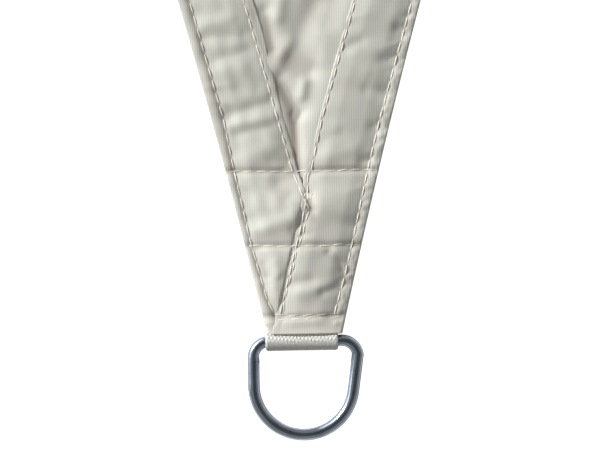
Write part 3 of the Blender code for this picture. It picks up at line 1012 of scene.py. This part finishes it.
def webbingLine():
    # the band's middle line as (v, z)
    w = webbing
    bar = Vector((-ring["barFromTip"], ring["barHeight"]))
    radius = ring["wire"] + 0.3 * mm + w["halfThickness"]
    low, high = Vector((w["lowerBend"], w["lowerTail"])), Vector((w["upperBend"], w["upperTail"]))
    first = touchPoint(low, bar, radius, -1) - bar
    last = touchPoint(high, bar, radius, 1) - bar
    begin = math.atan2(first.y, first.x)
    sweep = (math.atan2(last.y, last.x) - begin) % (2 * math.pi) - 2 * math.pi
    wrap = [bar + Matrix.Rotation(begin + sweep * i / 40, 2) @ Vector((radius, 0)) for i in range(41)]
    upper = [wrap[-1] + (high - wrap[-1]) * i / 30 for i in range(1, 31)]
    ends = (Vector((w["tailEnd"], w["lowerTail"])), Vector((w["tailEnd"], w["upperTail"])))
    return np.array([tuple(p) for p in (ends[0], low, *wrap, *upper, ends[1])])


def webbingRelief(u, s, v):
    # slanted ribs all over and rows of bumps just outside the cloth
    w = webbing
    ribs = np.sin((u + 0.9 * s) * 2 * math.pi / w["ribPitch"]) * w["ribHeight"]
    slant = s + 0.13 * u
    row = np.round(slant / w["bumpRowPitch"])
    acrossRow = (u + 0.4 * row * w["bumpPitch"]) / w["bumpPitch"]
    awayU = (acrossRow - np.round(acrossRow)) * w["bumpPitch"]
    awayS = slant - row * w["bumpRowPitch"]
    bumps = np.exp(-((awayU / (0.42 * mm)) ** 2) - ((awayS / (0.40 * mm)) ** 2)) * w["bumpHeight"]
    share = smooth((v + 3.6 * mm) / (1.4 * mm))
    return ribs * (1 - 0.6 * share) + bumps * share


def makeWebbing(corner):
    w = webbing
    line = webbingLine()
    s = distances(line)
    tangent = np.gradient(line, s, axis=0)
    tangent /= np.hypot(tangent[:, 0], tangent[:, 1])[:, None]
    awayV, awayZ = -tangent[:, 1:], tangent[:, :1]  # away from the bar
    u = np.arange(-w["halfWidth"], w["halfWidth"] + w["columnStep"] / 2, w["columnStep"])
    edgeDrop = smooth((w["halfWidth"] - np.abs(u)) / (0.8 * mm))
    relief = webbingRelief(u, s[:, None], line[:, :1])
    half = w["halfThickness"] * (w["edgeShare"] + (1 - w["edgeShare"]) * edgeDrop)
    sides = []
    for offset, order in ((half + relief * edgeDrop, 1), (-half, -1)):
        v, z = line[:, :1] + awayV * offset, line[:, 1:] + awayZ * offset
        x, y = toSail(u + w["shift"], v, corner)
        sides.append(np.stack([x, y, z], axis=-1)[:, ::order])
    points = np.concatenate(sides, axis=1)
    faces = tubeFaces(*points.shape[:2])
    piece = newPiece(f"webbingBand_{corner + 1}", points.reshape(-1, 3), faces, webbingMaterial)
    # mask of the painted highlight on the raised yarn crowns
    raised = smooth(relief / (0.4 * mm))
    addMask(piece, "raised", np.concatenate([raised, np.zeros_like(raised)], axis=1))
    repairNormals(piece)
    return piece


webbings = [makeWebbing(corner) for corner in range(cornerCount)]
print("webbing made")


# rings: a circle of wire section run round the D
def runWire(shift):
    bpy.ops.mesh.extrude_region_move(TRANSFORM_OT_translate={"value": shift})


def bendWire(centre, angle, steps):
    # counter-clockwise seen from above
    bpy.ops.mesh.spin(steps=steps, angle=-angle, center=(*centre, 0), axis=(0, 0, 1))


def makeFirstRing():
    r = ring
    lean, bow, bend = r["lean"], r["bowRadius"], r["bendRadius"]
    bowX, bowY = r["bowCentre"][0], -r["bowCentre"][1]
    footX, footY = bowX + bow * math.cos(lean), bowY + bow * math.sin(-lean)
    rise = (-footY - bend * (1 - math.sin(lean))) / math.cos(lean)
    topX, topY = footX + rise * math.sin(lean), footY + rise * math.cos(lean)
    rightX = topX - bend * math.cos(lean)
    leftX = bowX - bow + bend
    bpy.ops.object.select_all(action="DESELECT")
    bpy.ops.mesh.primitive_circle_add(
        vertices=r["sides"],
        radius=r["wire"],
        fill_type="NOTHING",
        location=(bowX - bow, -bend, 0),
        rotation=(math.pi / 2, 0, 0),
    )
    piece = bpy.context.object
    bpy.ops.object.transform_apply(location=True, rotation=True, scale=True)
    bpy.ops.object.mode_set(mode="EDIT")
    bpy.ops.mesh.select_all(action="SELECT")
    runWire((0, bowY + bend, 0))
    bendWire((bowX, bowY), math.pi - lean, 64)
    runWire((topX - footX, topY - footY, 0))
    bendWire((rightX, -bend), math.pi / 2 + lean, 16)
    runWire((leftX - rightX, 0, 0))
    bendWire((leftX, -bend), math.pi / 2, 16)
    bpy.ops.mesh.select_all(action="SELECT")
    bpy.ops.mesh.remove_doubles(threshold=0.02 * mm)
    bpy.ops.mesh.normals_make_consistent(inside=False)
    bpy.ops.object.mode_set(mode="OBJECT")
    bpy.ops.object.shade_smooth()
    piece.name = "dRing_1"
    piece.data.materials.append(ringMaterial)
    droop = math.asin((r["barHeight"] - r["wire"]) / (r["bowCentre"][1] + bow))
    place = Matrix.Translation((0, -r["barFromTip"], r["barHeight"]))
    piece.data.transform(place @ Matrix.Rotation(droop, 4, "X"))  # until the bow lies on the ground
    return piece


def cornerMatrix(corner):
    turn = Matrix.Rotation(2 * math.pi / cornerCount * corner, 4, "Z")
    fromMiddle = Matrix.Translation((0, -plan["tipRadius"], 0))
    return Matrix.Translation((*middle, 0)) @ turn @ fromMiddle


def makeRings():
    first = makeFirstRing()
    made = [first]
    for corner in range(1, cornerCount):
        copy = first.copy()
        copy.data = first.data.copy()
        copy.name = f"dRing_{corner + 1}"
        bpy.context.scene.collection.objects.link(copy)
        made.append(copy)
    for corner, piece in enumerate(made):
        piece.data.transform(cornerMatrix(corner))
    return made


rings = makeRings()
print("rings made")


# stitches: short lengths of thread that come up through the cloth and go down again
thread = {
    "pitch": 5.6 * mm,
    "visible": 0.97,  # share of the pitch on top
    "radius": 0.3 * mm,
    "rise": 0.12 * mm,
    "sink": 0.45 * mm,
    "slant": math.radians(2),
    "sides": 6,
    "beads": (0.0, 0.12, 0.35, 0.65, 0.88, 1.0),
    "besideSunk": 0.05 * mm,
    "crossSunk": 0.16 * mm,
    "crossWobble": 0.35 * mm,
    "tipRows": (  # v, from u, to u, wobble, sunk in millimetres, and a seed
        (7.9, -13, 16, 0.5, 0.2, 15), (6.4, -11.5, 16, 0.5, 0.24, 25),
    ),
}


def surfaceTree(pieces):
    points, faces = [], []
    for piece in pieces:
        base = len(points)
        points += [tuple(v.co) for v in piece.data.vertices]
        faces += [[base + i for i in polygon.vertices] for polygon in piece.data.polygons]
    return BVHTree.FromPolygons(points, faces)


clothTree = surfaceTree([sailPanel, *hems])


def heightAt(x, y):
    hit = clothTree.ray_cast(Vector((x, y, 0.1)), Vector((0, 0, -1)))[0]
    return hit.z if hit else 0.0


def stitchPoints(places):
    # stitches a pitch apart along a line on the cloth
    places = np.array(places)
    s = distances(places)
    count = max(1, int(round(s[-1] / thread["pitch"])))
    pitch = s[-1] / count
    for i in range(count):
        begin = i * pitch + (1 - thread["visible"]) / 2 * pitch
        at = begin + np.array(thread["beads"]) * thread["visible"] * pitch
        yield np.column_stack([np.interp(at, s, places[:, 0]), np.interp(at, s, places[:, 1])])


def addStitch(points, faces, line, slant, sunk):
    # a bent length of thread, turned a little from the line it follows
    middlePoint = line.mean(axis=0)
    turn = np.array(((math.cos(slant), -math.sin(slant)), (math.sin(slant), math.cos(slant))))
    line = middlePoint + (line - middlePoint) @ turn.T
    ahead = line[-1] - line[0]
    ahead /= np.hypot(*ahead)
    across = np.array((-ahead[1], ahead[0]))
    base = len(points)
    sides = thread["sides"]
    for (x, y), share in zip(line, thread["beads"]):
        bow = math.sin(math.pi * share) ** 0.4
        z = heightAt(x, y) - thread["sink"] * (1 - bow) + (thread["rise"] - sunk) * bow
        radius = thread["radius"] * (0.55 + 0.45 * bow)
        for k in range(sides):
            angle = 2 * math.pi * k / sides
            side = across * radius * math.cos(angle)
            points.append((x + side[0], y + side[1], z + radius * math.sin(angle)))
    for j in range(len(line) - 1):
        for k in range(sides):
            a, b = base + j * sides + k, base + j * sides + (k + 1) % sides
            faces.append([a, b, b + sides, a + sides])
    faces.append([base + k for k in range(sides)][::-1])
    faces.append([base + (len(line) - 1) * sides + k for k in range(sides)])


def cornerRow(name, corner):
    rows = np.array(seamRows[name]) * mm
    return list(zip(*toSail(rows[:, 0], rows[:, 1], corner)))


def edgeRow(corner, far, rightName, leftName):
    # from the right side of this corner up the edge to the left side of the next one
    v = np.arange(142 * mm, 700 * mm, 8 * mm)
    right = onEdge(v, rowInside(rightName, 1, v, far), 1)
    left = onEdge(v, rowInside(leftName, -1, v, far), -1)
    first = list(zip(*toSail(right, v, corner)))
    last = list(zip(*toSail(left, v, corner + 1)))
    begin, end = cornerRow(rightName, corner)[::-1], cornerRow(leftName, corner + 1)
    centre = np.array(toSail(edgeU, edgeV, corner))
    fromPoint, toPoint = np.array(first[-1]) - centre, np.array(last[-1]) - centre
    radius = edgeRadius + far
    turnFrom = math.atan2(fromPoint[1], fromPoint[0])
    sweep = (math.atan2(toPoint[1], toPoint[0]) - turnFrom + math.pi) % (2 * math.pi) - math.pi
    count = max(2, int(abs(sweep) * radius / (10 * mm)))
    between = []
    for i in range(1, count):
        angle = turnFrom + sweep * i / count
        between.append((centre[0] + math.cos(angle) * radius, centre[1] + math.sin(angle) * radius))
    return begin + first + between + last[::-1] + end


def crossRow(corner, v, fromU, toU, wobble, seed):
    random = np.random.default_rng(seed)
    count = 12
    u = np.linspace(fromU, toU, count)
    return list(zip(*toSail(u, v + wobble * random.uniform(-1, 1, count), corner)))


def makeStitches(corner):
    random = np.random.default_rng(70 + corner)
    points, faces = [], []
    rows = [
        (edgeRow(corner, plan["outerSeam"], "outerRight", "outerLeft"), 0.0),
        (edgeRow(corner, plan["innerSeam"], "innerRight", "innerLeft"), 0.0),
        (cornerRow("besideInner", corner), thread["besideSunk"]),
    ]
    for v in plan["crossSeams"][::-1]:
        half = onEdge(v, 1.2 * mm, 1)
        places = crossRow(corner, v, -half, half, thread["crossWobble"], 5 + corner)
        rows.append((places, thread["crossSunk"]))
    for *row, sunk, seed in thread["tipRows"]:
        places = crossRow(corner, *(value * mm for value in row), seed + corner)
        rows.append((places, sunk * mm))
    for places, sunk in rows:
        for line in stitchPoints(places):
            slant = thread["slant"] * random.uniform(0.4, 1.6)
            addStitch(points, faces, line, slant, sunk)
    piece = newPiece(f"seamThread_{corner + 1}", np.array(points), faces, threadMaterial)
    repairNormals(piece)
    return piece


stitches = [makeStitches(corner) for corner in range(cornerCount)]
print("stitches made:", sum(len(s.data.polygons) for s in stitches), "faces")


# camera and light
view = {
    "centre": (-1.2 * mm, 45 * mm),  # in the first corner's frame
    "width": 250 * mm,
    "lens": 100,
    "roll": math.radians(0.88),
}
studio = {
    "keyPlace": (-11.9, 6.6, 6.5),
    "keySize": 3.6,
    "keyPower": 3150,
    "worldStrength": 0.27,
    "seenStrength": 1.05,  # of the world, to the camera's own rays
    "cards": (
        # name, place, size, glow
        ("darkCard", (0.35, -0.7, 1.5), (2.0, 2.0), 0.08),
        ("brightCard", (-1.9, 0.25, 0.75), (3.4, 1.4), 1.7),
    ),
}


def makeCamera():
    data = bpy.data.cameras.new("camera")
    camera = bpy.data.objects.new("camera", data)
    bpy.context.scene.collection.objects.link(camera)
    data.lens = view["lens"]
    distance = view["width"] * data.lens / data.sensor_width
    x, y = toSail(*view["centre"], 0)
    camera.location = (x, y, distance)
    camera.rotation_euler = (0, 0, -view["roll"])
    data.clip_start, data.clip_end = 0.01, 200
    bpy.context.scene.camera = camera


def makeLight(name, place, target, size, power, colour):
    data = bpy.data.lights.new(name, "AREA")
    data.shape = "DISK"
    data.size = size
    data.energy = power
    data.color = colour
    light = bpy.data.objects.new(name, data)
    bpy.context.scene.collection.objects.link(light)
    light.location = place
    light.rotation_euler = (Vector(target) - Vector(place)).to_track_quat("-Z", "Y").to_euler()


def makeCard(name, place, target, size, glow):
    # a board that only reflections show
    bpy.ops.mesh.primitive_plane_add(size=1, location=place)
    card = bpy.context.object
    card.name = name
    card.scale = (*size, 1)
    card.rotation_euler = (Vector(target) - Vector(place)).to_track_quat("Z", "Y").to_euler()
    made, tree, shader, place = newMaterial(name)
    setInputs(shader, **{"Base Color": (0, 0, 0, 1), "Specular IOR Level": 0})
    setInputs(shader, **{"Emission Color": (0.93, 0.96, 1.0, 1), "Emission Strength": glow})
    card.data.materials.append(made)
    card.visible_camera = False
    card.visible_diffuse = False
    card.visible_shadow = False
    card.visible_transmission = False


def makeStudio():
    bpy.ops.mesh.primitive_plane_add(size=120, location=(0, 0, -0.2 * mm))
    floor = bpy.context.object
    floor.name = "studioFloor"
    made, tree, shader, place = newMaterial("paleFloor")
    setInputs(shader, **{"Base Color": (0.93, 0.93, 0.93, 1), "Roughness": 0.9})
    setInputs(shader, **{"Emission Color": (1, 1, 1, 1)})
    seen = tree.nodes.new("ShaderNodeLightPath").outputs["Is Camera Ray"]
    tree.links.new(seen, shader.inputs["Emission Strength"])
    floor.data.materials.append(made)
    size, power = studio["keySize"], studio["keyPower"]
    makeLight("key", studio["keyPlace"], (0, -0.6, 0), size, power, (1.0, 0.995, 0.98))
    for name, place, size, glow in studio["cards"]:
        makeCard(name, place, (0, -0.85, 0), size, glow)
    world = bpy.data.worlds.new("studio")
    bpy.context.scene.world = world
    world.use_nodes = True
    tree = world.node_tree
    tree.nodes["Background"].inputs["Color"].default_value = (1.0, 0.995, 0.975, 1)
    seen = tree.nodes.new("ShaderNodeLightPath").outputs["Is Camera Ray"]
    base = studio["worldStrength"]
    strength = mathNode(tree, "MULTIPLY_ADD", seen, studio["seenStrength"] - base, base)
    tree.links.new(strength, tree.nodes["Background"].inputs["Strength"])
    bpy.context.scene.view_settings.view_transform = "Standard"


makeCamera()
makeStudio()

for piece in (sailPanel, *hems):
    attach(piece, "root")
for piece in webbings:
    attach(piece, "root")
for piece in rings:
    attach(piece, "root")
for piece in stitches:
    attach(piece, "root")
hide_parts("sail_cloth")
for corner in range(cornerCount):
    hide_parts(f"webbing_loop_{corner + 1}")
    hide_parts(f"d_ring_{corner + 1}")
